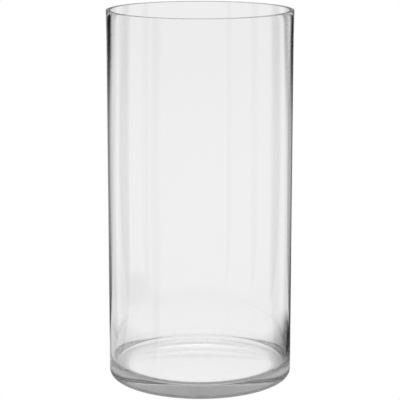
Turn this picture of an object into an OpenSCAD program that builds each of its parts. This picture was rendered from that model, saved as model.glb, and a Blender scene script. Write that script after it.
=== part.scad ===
// Glass cylinder vase, blown in one piece: a plain straight cylinder of clear
// glass with a heavy flat base, a rounded heel, and a wall that thickens
// towards a rim cut flat and polished.
// Millimetres, +Z up. The origin is the middle of the plane the vase stands on.

/* [Body] */
// Height over all, from the standing plane to the top of the rim
height = 305; // [150:1:450]
// Outside diameter of the straight wall
outer_d = 152; // [100:0.5:220]
// Thickness of the straight wall
wall_t = 1.8; // [1.2:0.1:2.8]

/* [Base] */
// Thickness of the base, from the standing plane to the inside floor
base_t = 11; // [6:0.5:20]
// Radius of the rounded heel, outside, where the wall turns under
heel_r = 5; // [2:0.5:9]
// Radius inside, where the wall runs into the floor
floor_r = 6.5; // [3:0.5:12]
// Width of the flat ring that the vase stands on
ring_w = 9; // [4:0.5:20]
// Depth of the shallow hollow under the base, inside the standing ring
hollow_h = 1.5; // [0.5:0.1:3]

/* [Rim] */
// Thickness of the wall at the rim, which is the width of the flat cut
rim_t = 4.2; // [3:0.1:6]
// Height under the rim that keeps that thickness
land_h = 5; // [3:0.5:10]
// Height below it over which the wall thins, on the inside, to its own thickness
taper_h = 55; // [20:5:90]
// Radius of the two polished edges of the cut
rim_r = 0.6; // [0.3:0.1:1.2]

/* [Hidden] */
$fn = 180;
glass_colour = "lightcyan";

outer_r = outer_d / 2;
inner_r = outer_r - wall_t;
mouth_r = outer_r - rim_t;
land_z = height - land_h;
// The ring starts where the heel's curve ends, and the hollow fills what is inside it.
hollow_r = outer_r - heel_r - ring_w;
// The hollow's roof is a cap of a large ball.
ball_r = (hollow_r * hollow_r + hollow_h * hollow_h) / (2 * hollow_h);
ball_fn = 1440;

// What is left of a square of side r, with its corner at the origin and lying
// towards +X +Y, when a circle that touches both of its axes is taken away.
module corner_scrap(r) {
    difference() {
        square(r);
        translate([r, r]) circle(r);
    }
}

// The solid outside, with the hollow under the base
module outside_section() {
    difference() {
        square([outer_r, height]);
        translate([outer_r, 0]) mirror([1, 0]) corner_scrap(heel_r);
        translate([0, hollow_h - ball_r]) circle(ball_r, $fn = ball_fn);
    }
}

// The room inside, open at the top, narrower towards the mouth
module inside_section() {
    difference() {
        polygon([
            [0, base_t], [inner_r, base_t], [inner_r, land_z - taper_h],
            [mouth_r, land_z], [mouth_r, height], [0, height]
        ]);
        translate([inner_r, base_t]) mirror([1, 0]) corner_scrap(floor_r);
    }
}

// What polishing takes off the two edges of the cut
module rim_scraps() {
    translate([outer_r, height]) mirror([1, 0]) mirror([0, 1]) corner_scrap(rim_r);
    translate([mouth_r, height]) mirror([0, 1]) corner_scrap(rim_r);
}

module glass_vase() {
    color(glass_colour) rotate_extrude() difference() {
        outside_section();
        inside_section();
        rim_scraps();
    }
}

glass_vase();
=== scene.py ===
"""A tall cylinder vase of clear blown glass, on a light table, in soft studio light."""
import math

import bpy
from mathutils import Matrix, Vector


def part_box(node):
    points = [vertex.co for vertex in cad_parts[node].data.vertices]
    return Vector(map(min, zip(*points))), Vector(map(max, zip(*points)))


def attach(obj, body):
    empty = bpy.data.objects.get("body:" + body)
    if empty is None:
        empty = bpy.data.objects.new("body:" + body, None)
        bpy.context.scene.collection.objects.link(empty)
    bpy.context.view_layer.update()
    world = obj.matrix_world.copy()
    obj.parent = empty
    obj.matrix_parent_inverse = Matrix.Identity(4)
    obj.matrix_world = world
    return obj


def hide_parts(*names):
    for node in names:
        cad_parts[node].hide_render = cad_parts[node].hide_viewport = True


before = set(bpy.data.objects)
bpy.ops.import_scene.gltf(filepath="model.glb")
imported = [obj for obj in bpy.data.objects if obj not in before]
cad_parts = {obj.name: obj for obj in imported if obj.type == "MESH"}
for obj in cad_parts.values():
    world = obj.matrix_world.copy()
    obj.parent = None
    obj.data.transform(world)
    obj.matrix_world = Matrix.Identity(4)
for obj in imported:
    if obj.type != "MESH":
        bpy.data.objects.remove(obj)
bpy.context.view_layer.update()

bl_info = {
    "name": "Glass cylinder vase",
    "version": (1, 0, 0),
    "blender": (4, 5, 0),
    "location": "View3D > Sidebar > Vase",
    "description": "Builds a clear glass cylinder vase and a plain light table for it",
    "category": "Object",
}

MM = 0.001
VASE_LOW, VASE_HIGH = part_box("glass_vase")

# The wall leans out by the flare in its last stretch, so that the rim is as wide as the box, and keeps
# the rim's radius and thickness over the land.
RIM_FLARE = 0.25 * MM
FLARE_FROM = 30 * MM
RIM_LAND = 2 * MM
# Below the land the wall thins by the mean of a slow curve and a quick one.
THIN_SLOW, THIN_POWER = 95 * MM, 2.2
THIN_QUICK = 60 * MM
# Above the base the wall is thicker by this much, and loses two thirds of it over this height.
FOOT_EXTRA, FOOT_HEIGHT = 1.2 * MM, 70 * MM

# Steps along each stretch of the section
HOLLOW_STEPS, HEEL_STEPS, OUTSIDE_STEPS, POLISH_STEPS = 16, 12, 40, 6
INSIDE_STEPS, CORNER_STEPS, FLOOR_STEPS = 90, 14, 16

# Width of a wave in the glass, round the wall, and how many times as long it is up the wall
WAVE_WIDTH, WAVE_STRETCH = 12 * MM, 10
# Width of a scuffed spot, and the heights between which the scuffing ends
SCUFF_WIDTH, SCUFF_END = 1.5 * MM, (0.05 * MM, 0.3 * MM)


def linear(hex_colour):
    """An sRGB hex colour, such as "#F4F4F2", as linear red, green, blue and alpha."""
    parts = [int(hex_colour[i:i + 2], 16) / 255 for i in (1, 3, 5)]
    return [c / 12.92 if c <= 0.04045 else ((c + 0.055) / 1.055) ** 2.4 for c in parts] + [1.0]


def node(tree, kind, settings=None, **inputs):
    """Adds a node, sets its properties, then sets or links its inputs. A key is an input's name, with _
    for a space, or its number after "i"."""
    new = tree.nodes.new(kind)
    for name, value in (settings or {}).items():
        setattr(new, name, value)
    for key, value in inputs.items():
        by_number = key[0] == "i" and key[1:].isdigit()
        socket = new.inputs[int(key[1:])] if by_number else new.inputs[key.replace("_", " ")]
        if isinstance(value, bpy.types.NodeSocket):
            tree.links.new(value, socket)
        else:
            socket.default_value = value
    return new


def empty_tree(owner):
    """The node tree of a new material or world, with nothing in it."""
    owner.use_nodes = True
    owner.node_tree.nodes.clear()
    return owner.node_tree


def smooth(low, high, value):
    """0 below low, 1 above high, and an S curve between them."""
    t = min(1.0, max(0.0, (value - low) / (high - low)))
    return t * t * (3 - 2 * t)


class VaseSizes(bpy.types.PropertyGroup):
    """What a maker would change on the vase."""

    height: bpy.props.FloatProperty(
        name="Height", description="From the table to the top of the rim",
        default=VASE_HIGH.z - VASE_LOW.z, min=0.1, unit="LENGTH", subtype="DISTANCE")
    outer_r: bpy.props.FloatProperty(
        name="Wall radius", description="Outside radius of the straight wall",
        default=VASE_HIGH.x - RIM_FLARE, min=0.03, unit="LENGTH", subtype="DISTANCE")
    base_t: bpy.props.FloatProperty(
        name="Base", description="Thickness of the base under the inside floor",
        default=11 * MM, min=0.004, unit="LENGTH", subtype="DISTANCE")
    heel_r: bpy.props.FloatProperty(
        name="Heel", description="Radius outside, where the wall turns under",
        default=5 * MM, min=0.001, unit="LENGTH", subtype="DISTANCE")
    floor_r: bpy.props.FloatProperty(
        name="Inside corner", description="Radius inside, where the wall runs into the floor",
        default=6.5 * MM, min=0.001, unit="LENGTH", subtype="DISTANCE")
    ring_w: bpy.props.FloatProperty(
        name="Standing ring", description="Width of the flat ring that the vase stands on",
        default=9 * MM, min=0.002, unit="LENGTH", subtype="DISTANCE")
    hollow_h: bpy.props.FloatProperty(
        name="Hollow", description="Depth of the hollow under the base",
        default=1.5 * MM, min=0.0001, unit="LENGTH", subtype="DISTANCE")
    rim_t: bpy.props.FloatProperty(
        name="Rim", description="Thickness of the wall at the flat cut rim",
        default=4.1 * MM, min=0.002, unit="LENGTH", subtype="DISTANCE")
    polish_r: bpy.props.FloatProperty(
        name="Polished edge", description="Radius of the two polished edges of the rim",
        default=0.5 * MM, min=0.0001, unit="LENGTH", subtype="DISTANCE")
    wall_t: bpy.props.FloatProperty(
        name="Wall", description="Thickness of the wall where it is thinnest",
        default=1.35 * MM, min=0.0008, unit="LENGTH", subtype="DISTANCE")
    turns: bpy.props.IntProperty(
        name="Facets round", description="Steps in which the section is spun",
        default=256, min=32, max=360)


class GlassFinish(bpy.types.PropertyGroup):
    """The finish of the glass."""

    colour: bpy.props.FloatVectorProperty(
        name="Glass colour", description="Tint of the clear glass", subtype="COLOR", size=4,
        min=0, max=1, default=linear("#FFFFFF"))
    # Grey tint of the cut rim: painted shade for the dark surroundings that its polished edges reflect
    cut: bpy.props.FloatVectorProperty(
        name="Cut colour", description="Tint of the cut rim", subtype="COLOR", size=4,
        min=0, max=1, default=linear("#A8A8A8"))
    ior: bpy.props.FloatProperty(
        name="Index", description="Index of refraction of soda-lime glass",
        default=1.52, min=1.3, max=1.9)
    density: bpy.props.FloatProperty(
        name="Density", description="How quickly the glass takes light as it gets deeper",
        default=7.5, min=0)
    wave: bpy.props.FloatProperty(
        name="Draw waves", description="Height of the faint waves that blowing leaves in the surface",
        default=0.004 * MM, min=0, precision=6, unit="LENGTH", subtype="DISTANCE")


class StageLook(bpy.types.PropertyGroup):
    """The table and the light round it."""

    paper: bpy.props.FloatVectorProperty(
        name="Table colour", description="Colour of the light table and the backdrop", subtype="COLOR",
        size=4, min=0, max=1, default=linear("#FFFFFF"))
    glow: bpy.props.FloatProperty(
        name="Glow", description="Brightness of the table as the glass shows it", default=0.88, min=0)
    front: bpy.props.FloatProperty(
        name="Front glow", description="The same on the camera's side", default=0.93, min=0)
    band: bpy.props.FloatProperty(
        name="Band", description="Brightness of the dim band just over the table's edge",
        default=0.35, min=0)
    ceiling: bpy.props.FloatProperty(
        name="Room", description="Brightness of the ceiling", default=1.12, min=0)


def arc(cx, cz, r, start, end, steps):
    """Points on a circle from one angle to another, in degrees, with both ends."""
    angles = [math.radians(start + (end - start) * i / steps) for i in range(steps + 1)]
    return [(cx + r * math.cos(a), cz + r * math.sin(a)) for a in angles]


def straight(start, end, steps):
    """Points between two points, without the first."""
    return [(start[0] + (end[0] - start[0]) * i / steps, start[1] + (end[1] - start[1]) * i / steps)
            for i in range(1, steps + 1)]


def outside(s, z):
    """Radius of the outside wall at a height."""
    return s.outer_r + RIM_FLARE * smooth(s.height - FLARE_FROM, s.height - RIM_LAND, z)


def wall(s, z):
    """Thickness of the wall at a height. The vase was cut where its wall was still thick, so it thins
    from the rim down, and it thickens again above the base, where the glass was last to cool."""
    below = max(0.0, s.height - RIM_LAND - z)
    share = (math.exp(-(below / THIN_SLOW) ** THIN_POWER) + math.exp(-below / THIN_QUICK)) / 2
    foot = FOOT_EXTRA * math.exp(-max(0.0, z - s.base_t) / FOOT_HEIGHT)
    return s.wall_t + (s.rim_t - s.wall_t) * share + foot


def section(s):
    """The vase's section from the axis under the base, out, up, over the rim, down the inside and back
    to the axis."""
    hollow_r = s.outer_r - s.heel_r - s.ring_w
    ball = (hollow_r ** 2 + s.hollow_h ** 2) / (2 * s.hollow_h)
    roof = [hollow_r * i / HOLLOW_STEPS for i in range(HOLLOW_STEPS + 1)]
    points = [(x, s.hollow_h - ball + math.sqrt(ball ** 2 - x ** 2)) for x in roof]
    heel = (s.outer_r - s.heel_r, s.heel_r)
    # Points near both edges of the standing ring keep it flat in the smooth shading.
    points += [(hollow_r + 0.6 * MM, 0), (hollow_r + 3 * MM, 0), (heel[0] - 1 * MM, 0)]
    points += arc(*heel, s.heel_r, -90, 0, HEEL_STEPS)
    edge_z = s.height - s.polish_r
    rise = straight((0, s.heel_r), (0, edge_z), OUTSIDE_STEPS)
    points += [(outside(s, z), z) for _, z in rise]
    rim_r = s.outer_r + RIM_FLARE
    points += arc(rim_r - s.polish_r, edge_z, s.polish_r, 0, 90, POLISH_STEPS)[1:]
    points += arc(rim_r - s.rim_t + s.polish_r, edge_z, s.polish_r, 90, 180, POLISH_STEPS)
    corner_z = s.base_t + s.floor_r
    fall = straight((0, edge_z), (0, corner_z), INSIDE_STEPS)
    points += [(outside(s, z) - wall(s, z), z) for _, z in fall]
    corner_x = s.outer_r - wall(s, corner_z) - s.floor_r
    points += arc(corner_x, corner_z, s.floor_r, 0, -90, CORNER_STEPS)[1:]
    points += straight((corner_x, s.base_t), (0, s.base_t), FLOOR_STEPS)
    return points


def glass_material(name, colour, finish, deep):
    """Soda-lime glass, blown. It is clear, bends light by its index and has no grain, only faint long
    waves where it was drawn out, and a scuffed ring where it stands. The cut rim is the same glass with
    a
    grey tint that is painted shade: it stands in for the dark surroundings that the rim's polished edges
    reflect, and draws the mouth as a thin grey line. Only the blown glass, which is deep, dims light by
    its thickness."""
    material = bpy.data.materials.new(name)
    tree = empty_tree(material)
    place = node(tree, "ShaderNodeTexCoord").outputs["Object"]
    stretched = node(tree, "ShaderNodeMapping", Vector=place, Scale=(1, 1, 1 / WAVE_STRETCH)).outputs[0]
    waves = node(tree, "ShaderNodeTexNoise", Vector=stretched, Scale=1 / WAVE_WIDTH, Detail=1.5,
                 Roughness=0.4)
    bump = node(tree, "ShaderNodeBump", Strength=1.0, Distance=finish.wave, Height=waves.outputs["Fac"])
    # Only the flat ring under the vase is scuffed, in small spots.
    height = node(tree, "ShaderNodeSeparateXYZ", Vector=place).outputs["Z"]
    ring = node(tree, "ShaderNodeMapRange", Value=height, i1=SCUFF_END[0], i2=SCUFF_END[1], i3=1.0,
                i4=0.0)
    spots = node(tree, "ShaderNodeTexNoise", Vector=place, Scale=1 / SCUFF_WIDTH, Detail=2.0)
    scuff = node(tree, "ShaderNodeMapRange", Value=spots.outputs["Fac"], i1=0.4, i2=0.65, i3=0.0,
                 i4=0.35)
    rough = calc(tree, "MULTIPLY", ring.outputs[0], scuff.outputs[0])
    shader = node(tree, "ShaderNodeBsdfPrincipled", Base_Color=colour, Transmission_Weight=1.0,
                  IOR=finish.ior, Roughness=rough, Normal=bump.outputs[0])
    end = node(tree, "ShaderNodeOutputMaterial", Surface=shader.outputs[0])
    if deep:
        # Each millimetre takes a little of the light, so the glass greys where it is seen edge on.
        depth = node(tree, "ShaderNodeVolumeAbsorption", Color=linear("#808080"), Density=finish.density)
        tree.links.new(depth.outputs[0], end.inputs["Volume"])
    return material


class OBJECT_OT_glass_vase(bpy.types.Operator):
    """Spin the vase from its section"""

    bl_idname = "object.glass_vase"
    bl_label = "Glass vase"

    def execute(self, context):
        s = context.scene.vase_sizes
        bpy.ops.object.select_all(action="DESELECT")
        bpy.ops.mesh.primitive_plane_add(size=1 * MM, location=(0, 0, 0))
        vase = context.object
        vase.name = vase.data.name = "vase_body"
        points = section(s)
        # The plane becomes one point at the start of the section, which is then drawn out step by step.
        bpy.ops.object.mode_set(mode="EDIT")
        bpy.ops.mesh.select_all(action="SELECT")
        bpy.ops.mesh.merge(type="CENTER")
        bpy.ops.transform.translate(value=(points[0][0], 0, points[0][1]))
        for (x0, z0), (x1, z1) in zip(points, points[1:]):
            bpy.ops.mesh.extrude_region_move(TRANSFORM_OT_translate={"value": (x1 - x0, 0, z1 - z0)})
        bpy.ops.mesh.select_all(action="SELECT")
        bpy.ops.mesh.spin(steps=s.turns, angle=2 * math.pi, center=(0, 0, 0), axis=(0, 0, 1))
        bpy.ops.mesh.select_all(action="SELECT")
        bpy.ops.mesh.remove_doubles(threshold=0.002 * MM)
        bpy.ops.mesh.normals_make_consistent(inside=False)
        bpy.ops.object.mode_set(mode="OBJECT")
        bpy.ops.object.shade_smooth()
        if any(abs(e) > 1e-9 for e in vase.location) or len(vase.data.polygons) < 1000:
            raise RuntimeError("the vase didn't come out whole")
        finish = context.scene.glass_finish
        vase.data.materials.append(glass_material("soda_lime_glass_blown", finish.colour, finish, True))
        # The cut rim's glass, whose grey tint is painted shade for the dark surroundings its edges
        # reflect
        vase.data.materials.append(glass_material("soda_lime_glass_cut_painted_shade", finish.cut, finish, False))
        for face in vase.data.polygons:
            face.material_index = int(face.center.z > s.height - s.polish_r)
        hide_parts("glass_vase")
        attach(vase, "root")
        return {"FINISHED"}


# Filter cards stand on the table like spokes round the vase. Looking between two of them, the glass
# bends the view past its edges into the cards on both sides, which draws the edges dark. A row of a
# card gives the light that it lets through by the angle, in degrees, at which the glass must bend the
# view to see that part of it. Each card has one row for its foot and one for the height of the rim.
PLAIN_LOW = ((4, 1.0), (20, 0.6), (26, 0.6), (40, 1.0))
PLAIN_HIGH = ((6, 1.0), (20, 0.4), (28, 0.4), (42, 1.0))
LEFT_LOW = ((2, 1.0), (9, 0.7), (19, 0.22), (27, 0.3), (43, 0.8))
LEFT_HIGH = ((7, 1.0), (20, 0.06), (26, 0.0), (39, 0.0), (44, 0.9))
RIGHT_LOW = ((4, 1.0), (15, 0.15), (19, 0.1), (24, 0.45), (37, 0.5), (44, 0.8))
RIGHT_HIGH = ((5, 1.0), (13, 0.12), (17, 0.0), (28, 0.0), (38, 1.0))
WIDEST_BEND = 45
# Each card's bearing from the back, in degrees, and its two rows
CARDS = (
    (-45, LEFT_LOW, LEFT_HIGH), (45, RIGHT_LOW, RIGHT_HIGH), (-135, PLAIN_LOW, PLAIN_HIGH),
    (-90, PLAIN_LOW, PLAIN_HIGH), (0, PLAIN_LOW, PLAIN_HIGH), (90, PLAIN_LOW, PLAIN_HIGH),
    (180, PLAIN_LOW, PLAIN_HIGH),
)
# Distances of a card's near and far edge from the vase's axis, and the card's height
CARD_START, CARD_END, CARD_HIGH = 0.11, 0.9, 0.34
# The low row gives way to the high one between these heights.
CARD_BLEND = (0.17, 0.27)
# Below this height the film is denser, by this power at the table.
CARD_FOOT, CARD_FOOT_POWER = 0.13, 1.4


def calc(tree, operation, *values):
    """One sum on numbers or sockets."""
    return node(tree, "ShaderNodeMath", {"operation": operation},
                **{"i%d" % i: value for i, value in enumerate(values)}).outputs[0]


def curve(tree, value, low, high, first=0.0, last=1.0):
    """An S curve from the first number, up to low, to the last one, from high on."""
    return node(tree, "ShaderNodeMapRange", {"interpolation_type": "SMOOTHSTEP"}, Value=value,
                i1=low, i2=high, i3=first, i4=last).outputs[0]


def ramp(tree, value, stops, end):
    """A number that goes through stops, (value, number) from 0 to end, with soft steps between them."""
    new = node(tree, "ShaderNodeValToRGB", Fac=calc(tree, "DIVIDE", value, float(end)))
    new.color_ramp.interpolation = "EASE"
    while len(new.color_ramp.elements) < len(stops):
        new.color_ramp.elements.new(0.5)
    for element, (at, number) in zip(new.color_ramp.elements, stops):
        element.position = at / end
        element.color = (number, number, number, 1)
    return new.outputs[0]


def blend(tree, share, first, last):
    """The first number at share 0 and the last at share 1."""
    return node(tree, "ShaderNodeMix", {"data_type": "FLOAT"}, i0=share, i2=first, i3=last).outputs[0]


def product(tree, *lights):
    """All the lights multiplied."""
    total = lights[0]
    for light in lights[1:]:
        total = calc(tree, "MULTIPLY", total, light)
    return total


def spread(tree, value, first, last):
    """A place across a plane one unit wide, as a number from first to last."""
    return node(tree, "ShaderNodeMapRange", Value=value, i1=-0.5, i2=0.5, i3=first, i4=last).outputs[0]


def side_angle(tree, parts):
    """Degrees away from straight back, to either side, of a place or direction in x, y and z."""
    return calc(tree, "ABSOLUTE", calc(tree, "DEGREES", calc(tree, "ARCTAN2", parts["X"], parts["Y"])))


def card_material(name, low, high, vase_r):
    """Grey film, clear at its near edge, darker further out and clearer again at its far edge: it dims
    what the glass shows through it."""
    material = bpy.data.materials.new(name)
    tree = empty_tree(material)
    place = node(tree, "ShaderNodeTexCoord").outputs["Object"]
    parts = node(tree, "ShaderNodeSeparateXYZ", Vector=place).outputs
    out = spread(tree, parts["X"], CARD_START, CARD_END)
    rise = spread(tree, parts["Y"], 0.0, CARD_HIGH)
    # A view bent by this angle at the vase's edge crosses the card at this distance from the axis.
    bent = calc(tree, "SUBTRACT", 1.0, calc(tree, "DIVIDE", vase_r * math.sqrt(2), out))
    angle = calc(tree, "DEGREES", calc(tree, "ARCTANGENT", bent))
    light = blend(tree, curve(tree, rise, *CARD_BLEND), ramp(tree, angle, low, WIDEST_BEND),
                  ramp(tree, angle, high, WIDEST_BEND))
    light = calc(tree, "POWER", light, curve(tree, rise, 0.0, CARD_FOOT, CARD_FOOT_POWER, 1.0))
    film = node(tree, "ShaderNodeBsdfTransparent", Color=light)
    node(tree, "ShaderNodeOutputMaterial", Surface=film.outputs[0])
    return material


def glow_material(name, colour, strength):
    """Opal acrylic lit from below: it shows one even brightness."""
    material = bpy.data.materials.new(name)
    tree = empty_tree(material)
    light = node(tree, "ShaderNodeEmission", Color=colour, Strength=strength)
    node(tree, "ShaderNodeOutputMaterial", Surface=light.outputs[0])
    return material


# Painted shadows: two soft dark spots on the table, behind the vase on either side: x, y, radius and
# depth
PAINTED_SHADOWS = ((0.153, 0.063, 0.106, 0.99), (-0.122, 0.075, 0.09, 0.18))
# This inner share of a painted shadow's radius has its full depth.
PAINTED_SHADOW_CORE = 0.42
# Brightness of the table under the vase, and the radii between which it changes to the open table's
UNDER_VASE, UNDER_EDGE = 0.943, (0.05, 0.064)
# The ring of shade round the heel: radii between which it comes and goes, and its depth at the back
# and at the front, with the angles between which that changes
SHADE_IN, SHADE_OUT = (0.058, 0.066), (0.078, 0.1)
SHADE_BACK, SHADE_FRONT, SHADE_TURN = 0.02, 0.62, (50.0, 95.0)
# The open table gets brighter towards the camera's side between these angles from the back, and even
# all round between these distances.
FRONT_TURN, FAR_EVEN = (55.0, 110.0), (1.5, 4.0)


def spot(tree, place, x, y, radius, depth):
    """Light round a soft painted shadow on the table."""
    off = node(tree, "ShaderNodeVectorMath", {"operation": "DISTANCE"}, i0=place, i1=(x, y, 0))
    return curve(tree, off.outputs["Value"], PAINTED_SHADOW_CORE * radius, radius, 1.0 - depth, 1.0)


def table_light_material(look):
    """The same table as the glass shows it: a little dimmer, with two painted shadows, soft dark spots
    behind the vase, and the ring of painted shade that the vase's heel casts."""
    material = bpy.data.materials.new("light_table_with_shade")
    tree = empty_tree(material)
    place = node(tree, "ShaderNodeTexCoord").outputs["Object"]
    far = node(tree, "ShaderNodeVectorMath", {"operation": "LENGTH"}, i0=place).outputs["Value"]
    side = side_angle(tree, node(tree, "ShaderNodeSeparateXYZ", Vector=place).outputs)
    near_light = curve(tree, side, *FRONT_TURN, look.glow, look.front)
    even = blend(tree, curve(tree, far, *FAR_EVEN), near_light, look.glow)
    # Painted shadows darken the open table behind the vase.
    open_light = product(tree, even, *[spot(tree, place, *row) for row in PAINTED_SHADOWS])
    light = blend(tree, curve(tree, far, *UNDER_EDGE), UNDER_VASE, open_light)
    shade = product(tree, curve(tree, far, *SHADE_IN), curve(tree, far, *SHADE_OUT, 1.0, 0.0),
                    curve(tree, side, *SHADE_TURN, SHADE_BACK, SHADE_FRONT))
    light = calc(tree, "MULTIPLY", light, calc(tree, "SUBTRACT", 1.0, shade))
    glow = node(tree, "ShaderNodeEmission", Color=look.paper, Strength=light)
    node(tree, "ShaderNodeOutputMaterial", Surface=glow.outputs[0])
    return material


# Heights in the room, in degrees over the horizon: where the dim band starts, where it ends, where the
# ceiling comes in, and where the camera's side of it gets brighter, by this share
BAND_START, BAND_END, CEILING_RISE = (3.6, 5.2), (11.0, 14.5), (20.0, 40.0)
CAMERA_SIDE_RISE, CAMERA_SIDE_EXTRA = (10.0, 30.0), 0.58


def room_light(look):
    """The room as the glass shows it: as bright as the table just over it, a dim band above that, then
    a pale ceiling that is brighter on the camera's side."""
    world = bpy.data.worlds.new("studio_room")
    bpy.context.scene.world = world
    tree = empty_tree(world)
    place = node(tree, "ShaderNodeTexCoord").outputs["Generated"]
    parts = node(tree, "ShaderNodeSeparateXYZ", Vector=place).outputs
    rise = calc(tree, "DEGREES", calc(tree, "ARCSINE", parts["Z"]))
    low = curve(tree, rise, *BAND_START, look.glow, look.band)
    light = blend(tree, curve(tree, rise, *BAND_END), low, look.glow)
    ceiling = curve(tree, rise, *CEILING_RISE, 1.0, look.ceiling / look.glow)
    light = calc(tree, "MULTIPLY", light, ceiling)
    turned = curve(tree, side_angle(tree, parts), 0.0, 180.0, 0.0, CAMERA_SIDE_EXTRA)
    extra = calc(tree, "MULTIPLY", turned, curve(tree, rise, *CAMERA_SIDE_RISE))
    light = calc(tree, "MULTIPLY", light, calc(tree, "ADD", 1.0, extra))
    back = node(tree, "ShaderNodeBackground", Color=look.paper, Strength=light)
    node(tree, "ShaderNodeOutputWorld", Surface=back.outputs[0])


# Radii, in metres, of the table and backdrop that the camera sees, and of the table in the glass
TABLE_R, BACKDROP_R, GLASS_TABLE_R = 7, 6, 40
# Where the camera stands, how far down it looks in degrees, and how far away it sees in metres
CAMERA_PLACE, CAMERA_DOWN, CAMERA_REACH = (0, -1.3495, 0.4337), 11.958, 200
# Its lens and the width of its film, in millimetres
CAMERA_LENS, FILM_WIDTH = 150.45, 36
# Light may pass this many surfaces, so that it gets through both walls and their reflections.
BOUNCES = 32


def seen_by(thing, camera):
    """Lets only the camera see a piece of the stage, or only the glass."""
    thing.visible_camera = camera
    thing.visible_transmission = thing.visible_glossy = not camera
    thing.visible_diffuse = thing.visible_shadow = thing.visible_volume_scatter = False


def add_to_stage(thing, name, material, camera):
    """Names and finishes a new piece of the stage, and says who sees it."""
    thing.name = name
    thing.data.materials.append(material)
    seen_by(thing, camera)


class OBJECT_OT_vase_stage(bpy.types.Operator):
    """Lay the light table, hang the backdrop, light the room and set up the camera"""

    bl_idname = "object.vase_stage"
    bl_label = "Stage"

    def execute(self, context):
        scene = context.scene
        look = scene.stage_look
        white = glow_material("opal_acrylic_lit", look.paper, 1.0)
        # The vase rests on the upper face, so the table lies a hair under it.
        for name, z, radius, material, camera in (
            ("light_table", -0.1 * MM, TABLE_R, white, True),
            ("light_table_in_glass", -0.2 * MM, GLASS_TABLE_R, table_light_material(look), False),
        ):
            bpy.ops.object.select_all(action="DESELECT")
            bpy.ops.mesh.primitive_circle_add(
                vertices=96, radius=radius, fill_type="TRIFAN", location=(0, 0, z))
            add_to_stage(context.object, name, material, camera)
        for bearing, low, high in CARDS:
            side = math.radians(bearing)
            middle = (CARD_START + CARD_END) / 2
            bpy.ops.object.select_all(action="DESELECT")
            bpy.ops.mesh.primitive_plane_add(
                size=1, location=(middle * math.sin(side), middle * math.cos(side), CARD_HIGH / 2),
                rotation=(math.pi / 2, 0, math.pi / 2 - side))
            context.object.scale = (CARD_END - CARD_START, CARD_HIGH, 1)
            name = "filter_card_%d" % (bearing % 360)
            film = card_material(name, low, high, scene.vase_sizes.outer_r)
            add_to_stage(context.object, name, film, False)
        bpy.ops.object.select_all(action="DESELECT")
        bpy.ops.mesh.primitive_uv_sphere_add(
            segments=48, ring_count=24, radius=BACKDROP_R, location=(0, 0, 0))
        add_to_stage(context.object, "backdrop", white, True)
        room_light(look)
        bpy.ops.object.camera_add(
            location=CAMERA_PLACE, rotation=(math.radians(90 - CAMERA_DOWN), 0, 0))
        camera = context.object
        camera.data.sensor_width = FILM_WIDTH
        camera.data.lens = CAMERA_LENS
        camera.data.clip_end = CAMERA_REACH
        bpy.context.scene.camera = camera
        scene.view_settings.view_transform = "Standard"
        for name in ("max_bounces", "transmission_bounces", "glossy_bounces"):
            setattr(scene.cycles, name, BOUNCES)
        return {"FINISHED"}


class VIEW3D_PT_vase(bpy.types.Panel):
    """Lists the vase's sizes, its finish and its stage"""

    bl_label = "Glass vase"
    bl_space_type = "VIEW_3D"
    bl_region_type = "UI"
    bl_category = "Vase"

    def draw(self, context):
        for group, operator in (
            (context.scene.vase_sizes, OBJECT_OT_glass_vase.bl_idname),
            (context.scene.glass_finish, None),
            (context.scene.stage_look, OBJECT_OT_vase_stage.bl_idname),
        ):
            box = self.layout.box()
            for name in group.__annotations__:
                box.prop(group, name)
            if operator:
                box.operator(operator)


CLASSES = (VaseSizes, GlassFinish, StageLook, OBJECT_OT_glass_vase, OBJECT_OT_vase_stage, VIEW3D_PT_vase)
GROUPS = {"vase_sizes": VaseSizes, "glass_finish": GlassFinish, "stage_look": StageLook}


def register():
    for cls in CLASSES:
        bpy.utils.register_class(cls)
    for name, group in GROUPS.items():
        setattr(bpy.types.Scene, name, bpy.props.PointerProperty(type=group))


def unregister():
    for name in GROUPS:
        delattr(bpy.types.Scene, name)
    for cls in reversed(CLASSES):
        bpy.utils.unregister_class(cls)


def main():
    register()
    bpy.ops.object.glass_vase()
    bpy.ops.object.vase_stage()


if __name__ == "__main__":
    main()
